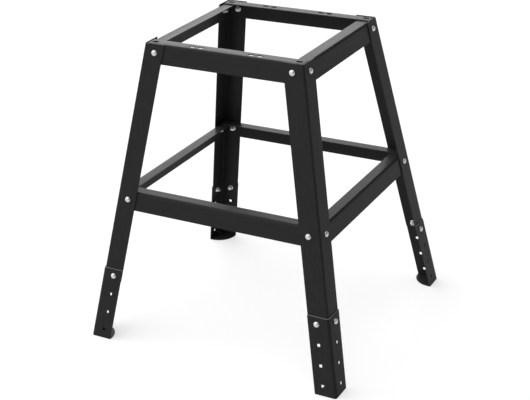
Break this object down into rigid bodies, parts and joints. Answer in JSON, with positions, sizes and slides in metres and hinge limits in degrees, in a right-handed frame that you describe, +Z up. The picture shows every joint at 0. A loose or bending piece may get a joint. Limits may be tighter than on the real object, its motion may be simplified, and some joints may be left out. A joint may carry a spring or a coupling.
{
  "type": "scroll saw stand",
  "caption": "Open steel stand for a bench scroll saw: splayed angle legs with bolted rails and stretchers, on sliding leg extensions that set its height.",
  "frame": {"origin": "on the floor, under the middle of the stand", "axes": "+Z up, +X to the right seen from the front, +Y from the front to the rear"},
  "size_m": [0.6362, 0.61, 0.7],
  "materials": {
    "black_coat": "satin black powder coat on sheet steel",
    "zinc_plate": "bright zinc plate on steel fasteners"
  },
  "bodies": {
    "frame": {"leg_front_left": "black_coat", "leg_front_right": "black_coat", "leg_rear_left": "black_coat", "leg_rear_right": "black_coat", "top_rail_front": "black_coat", "top_rail_rear": "black_coat", "top_rail_left": "black_coat", "top_rail_right": "black_coat", "stretcher_front": "black_coat", "stretcher_rear": "black_coat", "stretcher_left": "black_coat", "stretcher_right": "black_coat", "rail_bolt_front_left_front": "zinc_plate", "stretcher_bolt_front_left_front": "zinc_plate", "stretcher_nut_front_left_front": "zinc_plate", "extension_bolt_head_front_left_front": "zinc_plate", "extension_bolt_end_front_left_front": "zinc_plate", "rail_bolt_front_left_left": "zinc_plate", "stretcher_bolt_front_left_left": "zinc_plate", "stretcher_nut_front_left_left": "zinc_plate", "extension_bolt_head_front_left_left": "zinc_plate", "extension_bolt_end_front_left_left": "zinc_plate", "rail_bolt_front_right_front": "zinc_plate", "stretcher_bolt_front_right_front": "zinc_plate", "stretcher_nut_front_right_front": "zinc_plate", "extension_bolt_head_front_right_front": "zinc_plate", "extension_bolt_end_front_right_front": "zinc_plate", "rail_bolt_front_right_right": "zinc_plate", "stretcher_bolt_front_right_right": "zinc_plate", "stretcher_nut_front_right_right": "zinc_plate", "extension_bolt_head_front_right_right": "zinc_plate", "extension_bolt_end_front_right_right": "zinc_plate", "rail_bolt_rear_left_rear": "zinc_plate", "stretcher_bolt_rear_left_rear": "zinc_plate", "stretcher_nut_rear_left_rear": "zinc_plate", "extension_bolt_head_rear_left_rear": "zinc_plate", "extension_bolt_end_rear_left_rear": "zinc_plate", "rail_bolt_rear_left_left": "zinc_plate", "stretcher_bolt_rear_left_left": "zinc_plate", "stretcher_nut_rear_left_left": "zinc_plate", "extension_bolt_head_rear_left_left": "zinc_plate", "extension_bolt_end_rear_left_left": "zinc_plate", "rail_bolt_rear_right_rear": "zinc_plate", "stretcher_bolt_rear_right_rear": "zinc_plate", "stretcher_nut_rear_right_rear": "zinc_plate", "extension_bolt_head_rear_right_rear": "zinc_plate", "extension_bolt_end_rear_right_rear": "zinc_plate", "rail_bolt_rear_right_right": "zinc_plate", "stretcher_bolt_rear_right_right": "zinc_plate", "stretcher_nut_rear_right_right": "zinc_plate", "extension_bolt_head_rear_right_right": "zinc_plate", "extension_bolt_end_rear_right_right": "zinc_plate"},
    "extension_front_left": {"leg_extension_front_left": "black_coat"},
    "extension_front_right": {"leg_extension_front_right": "black_coat"},
    "extension_rear_left": {"leg_extension_rear_left": "black_coat"},
    "extension_rear_right": {"leg_extension_rear_right": "black_coat"}
  },
  "joints": [
    {"name": "extension_front_left_slide", "type": "slide", "parent": "frame", "child": "extension_front_left", "axis": [0.1725, 0.1613, 0.9717], "range_m": [0, 0.1395]},
    {"name": "extension_front_right_slide", "type": "slide", "parent": "frame", "child": "extension_front_right", "axis": [-0.1725, 0.1613, 0.9717], "range_m": [0, 0.1395]},
    {"name": "extension_rear_left_slide", "type": "slide", "parent": "frame", "child": "extension_rear_left", "axis": [0.1725, -0.1613, 0.9717], "range_m": [0, 0.1395]},
    {"name": "extension_rear_right_slide", "type": "slide", "parent": "frame", "child": "extension_rear_right", "axis": [-0.1725, -0.1613, 0.9717], "range_m": [0, 0.1395]}
  ]
}
